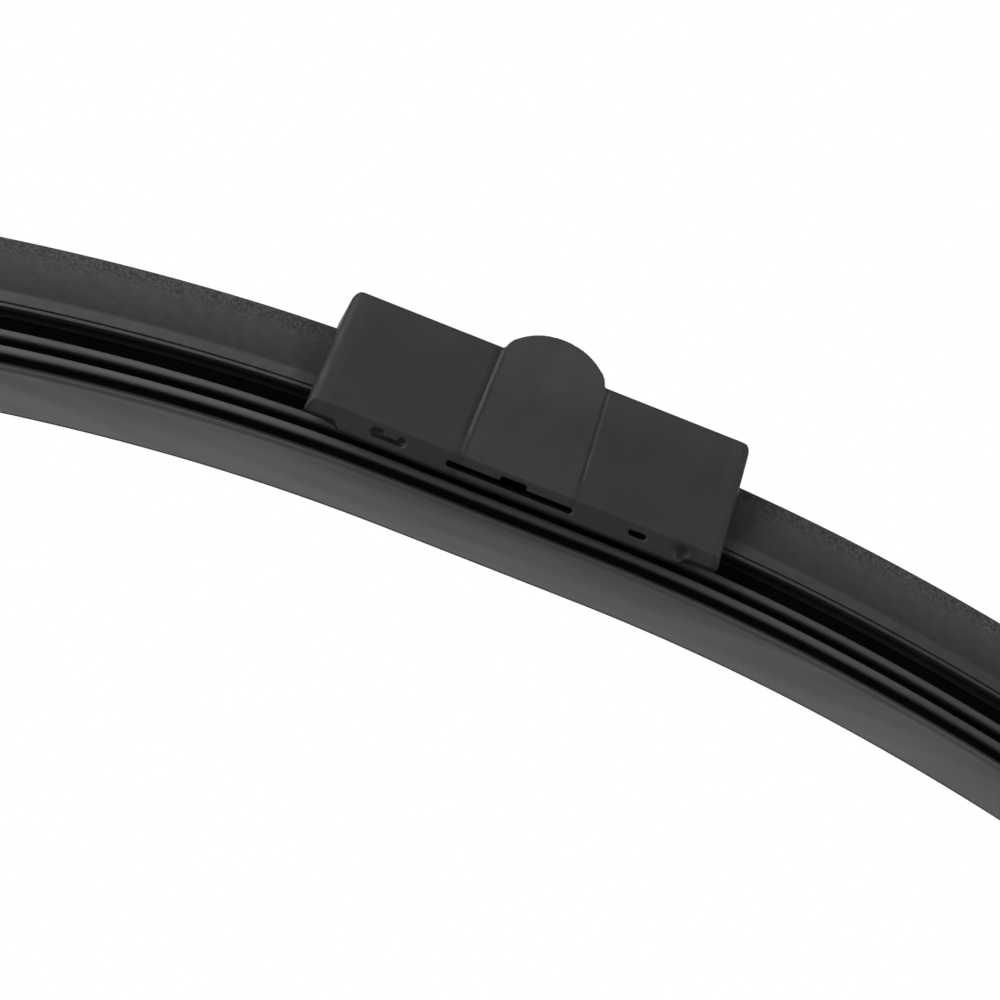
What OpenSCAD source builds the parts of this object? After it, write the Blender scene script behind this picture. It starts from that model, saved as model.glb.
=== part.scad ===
// Flat (beam) wiper blade: sprung rails, wiping rubber, spoilers, end caps and
// the moulded connector in the middle with its pivot pin and hook-arm adapter.
// X runs along the blade, Y across it and Z up, away from the windscreen.
// The origin is the middle of the pivot pin.

/* [Blade curve] */
// Length along the curve, end of rubber to end of rubber
blade_l = 500; // [450:10:600]
// Straight stretch held by the connector
straight_l = 28.4; // [26.6:0.2:36]
// Radius of the first bend beside the connector, at the wiping edge
bend1_r = 310; // [280:5:500]
// Arc length of the first bend
bend1_l = 37; // [30:1:45]
// Radius of the second bend
bend2_r = 355; // [320:5:600]
// Arc length of the second bend
bend2_l = 40; // [30:1:60]
// Radius of the third bend
bend3_r = 600; // [400:10:900]
// Arc length of the third bend
bend3_l = 85; // [60:1:100]
// Radius of the last bend, out to the tip
bend4_r = 1500; // [800:50:3000]

/* [Wiping rubber] */
// Thickness of the wiping edge
edge_t = 0.7; // [0.5:0.05:1]
// Thickness of the lip where its flat side ends
lip_t = 1.24; // [1.1:0.02:1.3]
// Height of the flat side of the lip
lip_h = 5; // [4:0.1:5.2]
// Thickness of the dip under the shoulder bead
dip_t = 1.04; // [0.9:0.02:1.08]
// Height of the dip
dip_z = 5.65; // [5.4:0.05:5.7]
// Width over the shoulder bead
bead_w = 1.8; // [1.5:0.05:2]
// Height of the shoulder bead
bead_z = 6.45; // [6.3:0.05:6.5]
// Radius of the shoulder bead
bead_r = 0.33; // [0.2:0.01:0.4]
// Thickness of the hinge neck over the lip
neck_t = 0.84; // [0.6:0.02:1]
// Width over the lower ridge
ridge_low_w = 4.4; // [4:0.1:4.8]
// Height of the lower ridge
ridge_low_z = 8.3; // [8.2:0.05:8.4]
// Thickness of the lower ridge
ridge_low_t = 1.15; // [0.9:0.05:1.2]
// Thickness of the web between the ridges
web_t = 1.6; // [1.2:0.1:2]
// Width over the upper ridge
ridge_up_w = 6.2; // [5.6:0.1:6.6]
// Height of the upper ridge
ridge_up_z = 10.3; // [10.2:0.05:10.4]
// Thickness of the upper ridge
ridge_up_t = 1.05; // [0.9:0.05:1.2]
// Width of the body over the upper ridge
body_w = 3.4; // [3:0.1:4]
// Width of the flange under the rails
flange_w = 5.8; // [5.2:0.1:6.2]
// Thickness of the flange under the rails
flange_t = 1; // [0.8:0.05:1.2]
// Thickness of the web between the rails
rail_web_t = 1.9; // [1.6:0.1:2.2]
// Width of the head over the rails
head_w = 4.4; // [4:0.1:4.8]
// Height of the head over the rails
head_h = 1.55; // [1.3:0.05:1.6]

/* [Rails] */
// Height of the underside of the rails over the wiping edge
rail_z = 13.6; // [13.5:0.05:13.7]
// Width of one rail
rail_w = 3.9; // [3.6:0.1:4.1]
// Thickness of the rails
rail_t = 0.85; // [0.7:0.05:0.9]
// Rails stop this far short of the rubber's end
rail_short = 1; // [0.5:0.1:2]

/* [Spoiler] */
// Height of the spoiler's top over the wiping edge
spoiler_z = 24.6; // [24:0.1:25]
// Radius of the rounded top
spoiler_tip_r = 0.9; // [0.6:0.05:1.2]
// Radius of the hollow side face
hollow_r = 23.4; // [18:0.2:40]
// Width over the knee where the hollow side ends
knee_w = 10.4; // [10:0.1:10.8]
// Height of the knee
knee_z = 15.8; // [15.4:0.05:16.1]
// Width at the foot of the side band
band_w = 11.5; // [11:0.1:11.7]
// Width over the bottom rim
rim_w = 12; // [11.6:0.1:12.4]
// Height of the rim's lower edge
rim_z = 12.95; // [12.8:0.05:13]
// Thickness of the rim
rim_t = 0.55; // [0.4:0.05:0.6]
// Height of the shadow line over the rim
line_t = 0.26; // [0.2:0.02:0.4]
// Depth of the shadow line
line_d = 0.35; // [0.2:0.05:0.4]
// Width of the opening between the claws under the rails
claw_gap_w = 9; // [8:0.1:9.4]
// Spoiler ends reach this far inside the connector
spoiler_in = 2.4; // [2:0.1:3]

/* [End caps] */
// Length of a cap over the blade
cap_l = 13; // [8:0.5:20]
// Wall of the cap
cap_t = 0.9; // [0.7:0.05:1.5]
// Thickness of the closed end
cap_end_t = 1.6; // [1:0.1:3]
// Length of the grip ribs on the cap
cap_rib_l = 1; // [0.6:0.1:1.5]

/* [Connector housing] */
// Length along the bottom
conn_l = 61.1; // [58:0.1:64]
// Length along the top, between the drafted ends
conn_top_l = 59; // [56:0.1:60]
// Width at the foot of the side walls
conn_w = 16.8; // [16.4:0.1:17.6]
// Width at the top of the side walls
conn_top_w = 13.6; // [13.4:0.1:14.6]
// Width along the bottom edge, under the sloping strip
conn_low_w = 13.4; // [13.2:0.1:14]
// Height of the bottom edge over the wiping edge
conn_low_z = 8.5; // [8.4:0.05:8.7]
// Height of the raised bottom edge near the ends
end_low_z = 9.4; // [9.1:0.05:9.6]
// Length of the bottom edge between the raised ends
low_l = 52; // [46:0.5:54]
// Height of the foot of the side walls
conn_foot_z = 11.05; // [10.8:0.05:11.6]
// Height of the top of the side walls
conn_z = 28.55; // [27.5:0.05:29.5]
// Rounding along the top edges
top_r = 1; // [0.6:0.1:1.2]
// Rounding of the top corners seen from the side
corner_r = 1.7; // [1.5:0.1:3]
// Rounding of the upright edges at the ends
upright_r = 1.3; // [0.8:0.1:1.6]
// Width of the open channel
channel_w = 11; // [10.9:0.1:11.6]
// Height of the channel floor over the wiping edge
floor_z = 17; // [16.9:0.1:17.4]
// Thickness of the channel floor
floor_t = 0.7; // [0.6:0.1:0.9]
// Thickness of the end walls
end_t = 2; // [1.6:0.1:2.3]
// Width of the space under the floor, outside the rail grip
under_w = 13; // [12.8:0.1:13.2]
// Width of the open underside between the strips
mouth_w = 10.4; // [10:0.1:10.8]
// Length of the middle part that grips the rails
grip_l = 26; // [20:0.5:27]
// Thickness of the claws under the rails
claw_t = 1; // [0.8:0.1:1.2]

/* [Boss and pivot] */
// Height of the pivot pin over the wiping edge
pin_z = 24.4; // [24.2:0.1:25]
// Diameter of the pivot pin
pin_d = 5; // [4.6:0.1:5.2]
// Depth of the blind bore left of face material over the pin
pin_skin = 0.6; // [0.5:0.1:0.8]
// Width of the boss at its foot
boss_w = 16.4; // [15:0.1:17]
// Width of the boss where its round top starts
boss_top_w = 15; // [13.6:0.1:15.4]
// Height of the boss top over the wiping edge
boss_z = 32.7; // [32:0.05:33.5]
// How far the boss stands out of the wall
boss_out = 0.15; // [0.05:0.05:0.3]
// Rounding of the boss shoulders
boss_r = 3.6; // [3:0.1:4.2]
// Radius of the boss top
boss_top_r = 9.5; // [9:0.1:12]
// Width of the groove down each side of the boss
boss_gap_w = 0.9; // [0.5:0.05:1]
// Depth of the groove in the wall
boss_gap_d = 0.25; // [0.15:0.05:0.4]
// Height where the groove starts over the wiping edge
boss_gap_z = 13.9; // [13:0.1:16]

/* [Slots in the lower strip] */
// Length of the long snap slot
slot_l = 18.7; // [16:0.1:22]
// Height of the long snap slot
slot_h = 0.85; // [0.7:0.05:1.2]
// Distance of the long slot's centre left of the middle
slot_x = 0.4; // [0:0.1:1]
// Depth of the slots, which reach through the strip
slot_d = 2.8; // [2.6:0.1:3.2]
// Slot centre under the middle of the strip
slot_low = 0.35; // [0.2:0.05:0.5]
// Width of the notch in the middle of the slot
notch_w = 3.9; // [3:0.1:6]
// Height of the notch over the slot
notch_h = 0.7; // [0.5:0.05:0.9]
// Distance of the round gate mark from the middle
gate_x = 18.4; // [15:0.1:19]
// Length of the gate mark
gate_l = 5.2; // [4:0.1:6]
// Height of the gate mark
gate_h = 1.3; // [1.1:0.1:1.8]
// Distance of the small slot from the middle
vent_x = 18.4; // [16:0.1:20]
// Length of the small slot
vent_l = 2.7; // [2:0.1:3.5]
// Height of the small slot
vent_h = 0.8; // [0.5:0.05:1]
// Distance of the soft round dimple from the middle
dimple_x = 25; // [24:0.1:26]
// Diameter of the dimple
dimple_d = 2.4; // [1.6:0.1:2.6]
// Depth of the shallow marks
mark_d = 0.55; // [0.3:0.05:0.6]

/* [Arm adapter] */
// Thickness of the core inside the arm's hook
core_h = 8.4; // [8:0.1:8.6]
// Width of the core inside the arm's hook
core_w = 9.1; // [9:0.1:9.4]
// Reach of the tail from the pin
tail_l = 16; // [13:0.5:18]
// Radius of the side flanges round the pin
flange_r = 6; // [5.4:0.1:6.4]
// Reach of the flange along the tail
flange_x = 9; // [7:0.1:9.4]
// Drop of the flange along the tail
flange_drop = 5.2; // [4.8:0.1:5.4]
// Reach of the stop heel from the pin
heel_x = 8; // [7.8:0.05:8.2]
// Height of the stop heel
heel_h = 3; // [2:0.1:4]
// Width of the snap opening under the pin
snap_w = 4; // [3.6:0.1:4.4]
// Width of the latch tongue
tongue_w = 5; // [4:0.1:6]
// Thickness of the latch tongue
tongue_t = 1.3; // [1:0.1:1.6]
// Length of the latch tongue
tongue_l = 10.5; // [8:0.5:11]
// Width of the slits beside and over the tongue
slit_w = 0.6; // [0.5:0.05:0.8]
// Diameter of the latch button
button_d = 3.4; // [2.6:0.1:4]
// Height of the latch button
button_h = 1; // [0.8:0.1:1.2]
// Distance of the latch button from the pin
button_x = 11; // [9:0.1:12]

/* [Clearances] */
// Gap between pieces that slide into each other
fit_gap = 0.1; // [0.05:0.01:0.2]
// Gap round the pin where the adapter turns
turn_gap = 0.05; // [0.03:0.01:0.08]
// Gap round the pin where it is held
hold_gap = 0.02; // [0.01:0.01:0.04]
// Gap between the adapter's sides and the channel
side_gap = 0.2; // [0.1:0.05:0.25]
// Gap round the spoilers where they enter the housing
mouth_gap = 0.3; // [0.2:0.05:0.4]

/* [Hidden] */
$fn = 96;
eps = 0.02;
hair = 0.002;
half_l = blade_l / 2;

// Stretches of the curve: start, end, radius, turn at the start, centre x and z
run0 = straight_l / 2;
run1 = run0 + bend1_l;
run2 = run1 + bend2_l;
run3 = run2 + bend3_l;
function deg(len, r) = len / r * 180 / PI;
turn1 = deg(bend1_l, bend1_r);
turn2 = turn1 + deg(bend2_l, bend2_r);
turn3 = turn2 + deg(bend3_l, bend3_r);
function shift(c, t, r, rn) = [c[0] + (r - rn) * sin(t), c[1] + (r - rn) * cos(t)];
mid1 = [run0, -bend1_r];
mid2 = shift(mid1, turn1, bend1_r, bend2_r);
mid3 = shift(mid2, turn2, bend2_r, bend3_r);
mid4 = shift(mid3, turn3, bend3_r, bend4_r);
stretches = [[run0, run1, bend1_r, 0, mid1],
             [run1, run2, bend2_r, turn1, mid2],
             [run2, run3, bend3_r, turn2, mid3],
             [run3, half_l + 50, bend4_r, turn3, mid4]];

// Levels and half widths that several pieces share
rail_top = rail_z + rail_t;
rail_in = rail_web_t / 2 + fit_gap;
rail_out = rail_in + rail_w;
flange_top = rail_z - fit_gap / 2;
head_low = rail_top + fit_gap / 2;
head_top = head_low + head_h;
side_run = conn_z - conn_foot_z;
side_lean = atan((conn_w - conn_top_w) / 2 / side_run);
end_lean = atan((conn_l - conn_top_l) / 2 / (conn_z - end_low_z));
strip_run = (conn_w - conn_low_w) / 2;
strip_rise = conn_foot_z - conn_low_z;
strip_lean = atan(strip_run / strip_rise);
pocket_x = conn_l / 2 - end_t - (conn_l - conn_top_l) / 2;
function wall_half(z) = conn_w / 2 - (z - conn_foot_z) * tan(side_lean);
pin_rear = wall_half(pin_z + pin_d / 2) + boss_out;
pin_front = pin_rear - pin_skin;

// Half width of the boss at a height, and the ball that sinks the dimple
boss_foot_z = conn_foot_z + 0.6;
boss_gap = boss_top_w / 2 - boss_r;
boss_rise = sqrt((boss_top_r - boss_r) * (boss_top_r - boss_r) - boss_gap * boss_gap);
boss_mid_z = boss_z - boss_top_r;
shoulder_z = boss_mid_z + boss_rise;
function boss_half(z) = boss_w / 2
  + (boss_top_w - boss_w) / 2 * (z - boss_foot_z) / (shoulder_z - boss_foot_z);
boss_lean = atan((boss_w - boss_top_w) / 2 / (shoulder_z - boss_foot_z));
dimple_ball_r = (dimple_d * dimple_d / 4 + mark_d * mark_d) / (2 * mark_d);

// Sweeps a section drawn in (Y, Z) along the curve from one length to another.
// Neighbouring stretches lap by a hair so that they join as one body.
module sweep(from, to) {
  if (from < run0)
    translate([from, 0, 0])
      rotate([90, 0, 90])
        linear_extrude(height = min(to, run0) - from)
          children();
  mirror([1, 0, 0])
    for (s = stretches) {
      a = max(from, s[0]);
      b = min(to, s[1]);
      lap = (a == s[0] && s[3] > 0) ? hair : 0;
      if (b > a)
        translate([-s[4][0], 0, s[4][1]])
          rotate([90, 0, 0])
            rotate_extrude(angle = deg(b - a, s[2]) + lap,
                           start = 90 + s[3] + deg(a - s[0], s[2]) - lap)
              translate([s[2], 0])
                rotate(-90)
                  children();
    }
}

// Sweeps a section over both sides of the middle
module sweep_both(to) {
  translate([-run0, 0, 0])
    rotate([90, 0, 90])
      linear_extrude(height = straight_l)
        children();
  for (m = [0, 1])
    mirror([m, 0, 0])
      sweep(run0, to)
        children();
}

// Draws a section on both sides of its middle line
module twin() {
  for (m = [0, 1])
    mirror([m, 0])
      children();
}

// Points on an arc about c in the section
function arc(c, r, from, to, n) =
  [for (i = [0 : n]) c + r * [cos(from + (to - from) * i / n), sin(from + (to - from) * i / n)]];

// Right half of the rubber, from the wiping edge up to the head
rubber_half = concat(
  [[edge_t / 2, 0], [lip_t / 2, lip_h], [dip_t / 2, dip_z]],
  arc([bead_w / 2 - bead_r, bead_z], bead_r, -70, 80, 4),
  [[neck_t / 2, bead_z + bead_r * 1.4],
   [neck_t / 2, ridge_low_z - ridge_low_t * 1.05]],
  arc([ridge_low_w / 2 - ridge_low_t / 2, ridge_low_z], ridge_low_t / 2, -80, 90, 6),
  [[web_t / 2, ridge_low_z + ridge_low_t / 2], [web_t / 2, ridge_up_z - ridge_up_t / 2]],
  arc([ridge_up_w / 2 - ridge_up_t / 2, ridge_up_z], ridge_up_t / 2, -90, 90, 6),
  [[body_w / 2, ridge_up_z + ridge_up_t / 2], [body_w / 2, flange_top - flange_t],
   [flange_w / 2, flange_top - flange_t], [flange_w / 2, flange_top],
   [rail_web_t / 2, flange_top], [rail_web_t / 2, head_low],
   [head_w / 2, head_low], [head_w / 2, head_low + head_h * 0.6],
   [head_w / 2 - head_h * 0.4, head_top]]);
rubber_n = len(rubber_half);
rubber_all = concat(rubber_half,
                    [for (i = [1 : rubber_n]) [-rubber_half[rubber_n - i][0], rubber_half[rubber_n - i][1]]]);

module rubber_section() {
  polygon(rubber_all);
}

// Both halves of a section from the points of its right half; the first lies on the middle line
function whole(half) = concat(
  half,
  [for (i = [1 : len(half) - 1]) [-half[len(half) - i][0], half[len(half) - i][1]]]);

// Side of the spoiler from its top down to the shadow line, grown by g
tip_c = [0, spoiler_z - spoiler_tip_r];
hollow_a = tip_c + spoiler_tip_r * [cos(12), sin(12)];
hollow_b = [knee_w / 2, knee_z];
chord = norm(hollow_a - hollow_b);
sag_d = sqrt(hollow_r * hollow_r - chord * chord / 4);
hollow_c = (hollow_a + hollow_b) / 2
           + sag_d / chord * [hollow_a[1] - hollow_b[1], hollow_b[0] - hollow_a[0]];
function toward(c, p) = atan2(c[1] - p[1], c[0] - p[0]) + 180;
function spoiler_side(g) = concat(
  arc(tip_c, spoiler_tip_r + g, 90, 20, 3),
  arc(hollow_c, hollow_r - g, toward(hollow_c, hollow_a), toward(hollow_c, hollow_b), 10),
  [[band_w / 2 + g, rim_z + rim_t + line_t]]);

module spoiler_outline(g) {
  polygon(whole(concat(spoiler_side(g), [[band_w / 2 + g, rim_z - g]])));
}

module spoiler_section() {
  polygon(whole(concat(
    spoiler_side(0),
    [[band_w / 2 - line_d, rim_z + rim_t + line_t], [band_w / 2 - line_d, rim_z + rim_t],
     [rim_w / 2, rim_z + rim_t], [rim_w / 2, rim_z], [claw_gap_w / 2, rim_z],
     [claw_gap_w / 2, rail_z - fit_gap / 2], [rail_out + fit_gap, rail_z - fit_gap / 2],
     [rail_out + fit_gap, rail_top + fit_gap / 2], [head_w / 2 + fit_gap, rail_top + fit_gap / 2],
     [head_w / 2 + fit_gap, head_top + fit_gap]])));
}

module rail_section() {
  translate([-rail_out, rail_z])
    square([rail_w, rail_t]);
}

module wiping_rubber() {
  color([0.13, 0.13, 0.13])
    sweep_both(half_l)
      rubber_section();
}

module rail_front() {
  color([0.2, 0.2, 0.21])
    sweep_both(half_l - rail_short)
      rail_section();
}

module rail_rear() {
  color([0.2, 0.2, 0.21])
    mirror([0, 1, 0])
      sweep_both(half_l - rail_short)
        rail_section();
}

module spoiler() {
  color([0.11, 0.11, 0.11])
    sweep(conn_l / 2 - spoiler_in, half_l)
      spoiler_section();
}

module spoiler_left() {
  mirror([1, 0, 0])
    spoiler();
}

module spoiler_right() {
  spoiler();
}

// Closed moulded cap with grip ribs over each end of the blade
module end_cap() {
  color([0.1, 0.1, 0.1])
    difference() {
      union() {
        sweep(half_l - cap_l, half_l + cap_end_t)
          cap_outline(cap_t);
        for (k = [1 : 3])
          sweep(half_l - 2 * k * cap_rib_l, half_l - (2 * k - 1) * cap_rib_l)
            cap_outline(cap_t + 0.3);
      }
      sweep(half_l - cap_l - 1, half_l + fit_gap) {
        spoiler_outline(fit_gap);
        translate([-rim_w / 2 - fit_gap, rim_z - fit_gap])
          square([rim_w + 2 * fit_gap, rim_t + 2 * fit_gap]);
        translate([-claw_gap_w / 2, ridge_up_z - 2])
          square([claw_gap_w, rail_z - ridge_up_z + 2]);
      }
    }
}

module cap_outline(g) {
  spoiler_outline(g);
  translate([-rim_w / 2 - g, rim_z - cap_t])
    square([rim_w + 2 * g, rim_t + line_t + cap_t]);
}

module end_cap_left() {
  mirror([1, 0, 0])
    end_cap();
}

module end_cap_right() {
  end_cap();
}

// Solid envelope of the housing: drafted sides and ends with rounded edges
module housing_envelope() {
  tr = top_r;
  intersection() {
    translate([-conn_l, 0, 0])
      rotate([90, 0, 90])
        linear_extrude(height = 2 * conn_l)
          union() {
            twin() {
              polygon([[-eps, conn_low_z], [conn_low_w / 2, conn_low_z], [conn_w / 2, conn_foot_z],
                       [conn_w / 2 - (side_run - tr) * tan(side_lean), conn_z - tr],
                       [-eps, conn_z - tr]]);
              translate([conn_top_w / 2 - tr * cos(side_lean) + tr * sin(side_lean), conn_z - tr])
                circle(r = tr);
            }
            translate([-conn_top_w / 2 + tr, conn_z - tr - eps])
              square([conn_top_w - 2 * tr, tr + eps]);
          }
    translate([0, conn_w, 0])
      rotate([90, 0, 0])
        linear_extrude(height = 2 * conn_w)
          union() {
            twin() {
              polygon([[-eps, conn_low_z], [low_l / 2 - 1, conn_low_z], [low_l / 2, end_low_z],
                       [conn_l / 2, end_low_z],
                       [conn_top_l / 2 + corner_r * tan(end_lean), conn_z - corner_r],
                       [-eps, conn_z - corner_r]]);
              translate([conn_top_l / 2 - corner_r * (1 - tan(end_lean)), conn_z - corner_r])
                circle(r = corner_r);
            }
            translate([-conn_top_l / 2 + corner_r, conn_z - corner_r - eps])
              square([conn_top_l - 2 * corner_r, corner_r + eps]);
          }
  }
}

// Sliver outside a rounded upright edge
module upright_cut() {
  for (mx = [0, 1], my = [0, 1])
    mirror([mx, 0, 0])
      mirror([0, my, 0])
        translate([conn_l / 2 - (conn_foot_z - end_low_z) * tan(end_lean), conn_w / 2, conn_foot_z])
          rotate([side_lean, -end_lean, 0])
            difference() {
              translate([-upright_r, -upright_r, -8])
                cube([upright_r + 3, upright_r + 3, side_run + 12]);
              translate([-upright_r, -upright_r, -9])
                cylinder(r = upright_r, h = side_run + 14);
            }
}

// Side outline of the boss
module boss_side() {
  polygon([[-boss_w / 2, boss_foot_z], [boss_w / 2, boss_foot_z],
           [boss_top_w / 2, shoulder_z], [-boss_top_w / 2, shoulder_z]]);
  twin()
    translate([boss_gap, shoulder_z])
      circle(r = boss_r);
  intersection() {
    translate([0, boss_mid_z])
      circle(r = boss_top_r, $fn = 180);
    polygon([[0, boss_mid_z], [2 * boss_gap, boss_mid_z + 2 * boss_rise],
             [-2 * boss_gap, boss_mid_z + 2 * boss_rise]]);
  }
}

// Shallow V-shaped grooves in the walls beside the boss
module boss_grooves() {
  for (mx = [0, 1], my = [0, 1])
    mirror([mx, 0, 0])
      mirror([0, my, 0])
        translate([boss_half(boss_gap_z) + boss_gap_w / 2, wall_half(boss_gap_z), boss_gap_z])
          rotate([side_lean, -boss_lean, 0])
            linear_extrude(height = conn_z)
              polygon([[-boss_gap_w / 2, 0], [0, -boss_gap_d], [boss_gap_w / 2, 0], [0, boss_gap_d]]);
}

module bosses() {
  intersection() {
    translate([0, conn_w, 0])
      rotate([90, 0, 0])
        linear_extrude(height = 2 * conn_w)
          boss_side();
    translate([-boss_w, 0, 0])
      rotate([90, 0, 90])
        linear_extrude(height = 2 * boss_w)
          polygon([[-wall_half(conn_foot_z) - boss_out, conn_foot_z],
                   [wall_half(conn_foot_z) + boss_out, conn_foot_z],
                   [wall_half(boss_z) + boss_out, boss_z], [-wall_half(boss_z) - boss_out, boss_z]]);
  }
}

// Places a cutter on the sloping strip at the bottom of one side
module on_strip(x, up) {
  translate([x, -(conn_w + conn_low_w) / 4, (conn_foot_z + conn_low_z) / 2])
    rotate([90 + strip_lean, 0, 0])
      translate([0, up, 0])
        children();
}

module slot_cut() {
  on_strip(-slot_x, -slot_low)
    translate([-slot_l / 2, -slot_h / 2, -slot_d])
      cube([slot_l, slot_h, slot_d + 1]);
  on_strip(0, -slot_low)
    translate([-notch_w / 2, -slot_h / 2, -slot_d])
      cube([notch_w, slot_h + notch_h, slot_d + 1]);
}

module stadium(l, h, d) {
  translate([0, 0, -d])
    linear_extrude(height = d + 1) {
      translate([-(l - h) / 2, -h / 2])
        square([l - h, h]);
      for (s = [-1, 1])
        translate([s * (l - h) / 2, 0])
          circle(d = h);
    }
}

module marks() {
  on_strip(-gate_x, 0)
    difference() {
      stadium(gate_l, gate_h, mark_d);
      translate([0, 0, -1])
        linear_extrude(height = 3)
          translate([gate_l * 0.08, gate_h * 0.12])
            square([gate_l * 0.42, gate_h * 0.42], center = true);
    }
  on_strip(vent_x, 0)
    stadium(vent_l, vent_h, slot_d);
  on_strip(dimple_x, 0)
    translate([0, 0, dimple_ball_r - mark_d])
      sphere(r = dimple_ball_r);
}

// Space under the floor: open to the rubber all along, with slots for the rails in the middle
module underside() {
  low = rail_z - fit_gap / 2 - claw_t;
  translate([-pocket_x, 0, 0])
    rotate([90, 0, 90])
      linear_extrude(height = 2 * pocket_x) {
        polygon([[-mouth_w / 2, conn_low_z - 1], [mouth_w / 2, conn_low_z - 1],
                 [mouth_w / 2, end_low_z], [mouth_w / 2 + 0.6, low],
                 [-mouth_w / 2 - 0.6, low], [-mouth_w / 2, end_low_z]]);
        translate([-flange_w / 2 - fit_gap, low - eps])
          square([flange_w + 2 * fit_gap, rail_z - low + eps]);
        translate([-rail_out - fit_gap, rail_z - fit_gap / 2])
          square([2 * (rail_out + fit_gap), rail_t + fit_gap]);
        translate([-head_w / 2 - fit_gap, rail_z])
          square([head_w + 2 * fit_gap, head_top + fit_gap - rail_z]);
      }
  for (m = [0, 1])
    mirror([m, 0, 0])
      translate([grip_l / 2, -under_w / 2, low])
        cube([pocket_x - grip_l / 2, under_w, floor_z - floor_t - low]);
}

module connector_housing() {
  color([0.1, 0.1, 0.105])
    difference() {
      union() {
        difference() {
          housing_envelope();
          upright_cut();
          boss_grooves();
        }
        bosses();
      }
      translate([-pocket_x, -channel_w / 2, floor_z])
        cube([2 * pocket_x, channel_w, conn_z]);
      underside();
      for (m = [0, 1])
        mirror([m, 0, 0])
          sweep(pocket_x - 1, conn_l / 2 + 4) {
            spoiler_outline(mouth_gap);
            translate([-rim_w / 2 - mouth_gap, rim_z - mouth_gap])
              square([rim_w + 2 * mouth_gap, rim_t + 2 * mouth_gap]);
            translate([-claw_gap_w / 2 - 1, conn_low_z - 2])
              square([claw_gap_w + 2, rail_z - conn_low_z + 2]);
          }
      for (m = [0, 1])
        mirror([0, m, 0])
          slot_cut();
      marks();
      translate([0, pin_rear + 2, pin_z])
        rotate([90, 0, 0])
          cylinder(d = pin_d + 2 * hold_gap, h = pin_rear + 2 + pin_front + hold_gap);
    }
}

module pivot_pin() {
  color([0.62, 0.62, 0.62])
    translate([0, pin_rear, pin_z])
      rotate([90, 0, 0])
        cylinder(d = pin_d, h = pin_rear + pin_front);
}

// Side outline of the adapter core, pin at the origin
module core_side() {
  circle(d = core_h);
  translate([0, -core_h / 2])
    square([tail_l - 1.5, core_h]);
  translate([tail_l - 1.5 - eps, -core_h / 2 + 1.5])
    square([1.5 + eps, core_h - 3]);
  for (s = [-1, 1])
    translate([tail_l - 1.5, s * (core_h / 2 - 1.5)])
      circle(r = 1.5);
}

module flange_side() {
  circle(r = flange_r);
  polygon([[0, -flange_r], [flange_x - 1, -flange_drop], [flange_x, -flange_drop + 1],
           [flange_x, core_h / 2], [0, core_h / 2]]);
  translate([-heel_x, -heel_h / 2])
    square([heel_x, heel_h]);
}

// Puts a side outline upright across the blade, w wide
module across(w) {
  translate([0, w / 2, 0])
    rotate([90, 0, 0])
      linear_extrude(height = w)
        children();
}

module arm_adapter() {
  wide = channel_w - 2 * side_gap;
  color([0.09, 0.09, 0.095])
    translate([0, 0, pin_z])
      difference() {
        union() {
          across(core_w)
            core_side();
          for (m = [0, 1])
            mirror([0, m, 0])
              translate([0, -(wide + core_w) / 4, 0])
                across((wide - core_w) / 2)
                  flange_side();
          translate([button_x, 0, -core_h / 2 - button_h])
            cylinder(d = button_d, h = button_h + 1);
        }
        across(2 * wide)
          circle(r = pin_d / 2 + turn_gap);
        translate([-snap_w / 2, -wide, -flange_r - 1])
          cube([snap_w, 2 * wide, flange_r + 1]);
        translate([tail_l - tongue_l, -tongue_w / 2 - slit_w, -core_h / 2 + tongue_t])
          cube([tongue_l + 1, tongue_w + 2 * slit_w, slit_w]);
        for (s = [-1, 1])
          translate([tail_l - tongue_l, s * (tongue_w + slit_w) / 2 - slit_w / 2, -core_h / 2 - 1])
            cube([tongue_l + 1, slit_w, tongue_t + 1 + slit_w]);
      }
}

// Brings the pivot pin to the origin
module placed() {
  translate([0, 0, -pin_z])
    children();
}

placed() wiping_rubber();
placed() rail_front();
placed() rail_rear();
placed() spoiler_left();
placed() spoiler_right();
placed() end_cap_left();
placed() end_cap_right();
placed() connector_housing();
placed() pivot_pin();
placed() arm_adapter();
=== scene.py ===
"""Looks of the flat wiper blade: fine swept rubber, rails and spoilers, a softly
rounded connector, adapter, pin and end caps, their finishes, light and camera."""
import math

import bmesh
import bpy
from mathutils import Matrix, Vector


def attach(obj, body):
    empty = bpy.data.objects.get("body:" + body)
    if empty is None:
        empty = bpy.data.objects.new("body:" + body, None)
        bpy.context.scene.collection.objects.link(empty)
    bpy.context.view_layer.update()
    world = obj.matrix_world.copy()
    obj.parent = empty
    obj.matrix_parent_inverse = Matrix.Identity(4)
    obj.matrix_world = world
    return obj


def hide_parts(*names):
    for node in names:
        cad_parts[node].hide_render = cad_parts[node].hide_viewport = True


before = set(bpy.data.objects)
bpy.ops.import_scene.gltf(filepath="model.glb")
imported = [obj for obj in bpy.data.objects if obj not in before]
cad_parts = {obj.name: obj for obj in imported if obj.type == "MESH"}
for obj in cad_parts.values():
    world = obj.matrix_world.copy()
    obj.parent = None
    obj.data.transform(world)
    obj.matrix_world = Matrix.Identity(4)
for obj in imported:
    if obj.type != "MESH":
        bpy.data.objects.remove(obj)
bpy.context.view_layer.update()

# Millimetre in the frame's own unit
MM = 0.001

# Curve of the blade, in mm: straight middle, then bends as (radius, length)
STRAIGHT = 28.4
BENDS = [(310, 37), (355, 40), (600, 85), (1500, 200)]
BLADE_LENGTH = 500
# Distance between the rings of a swept piece, in mm
RING_STEP = 2.5
# Height of the pivot pin over the wiping edge, and of the wiping edge in the frame, in mm
PIN_Z = 24.4
WIPING_EDGE = -PIN_Z

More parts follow.
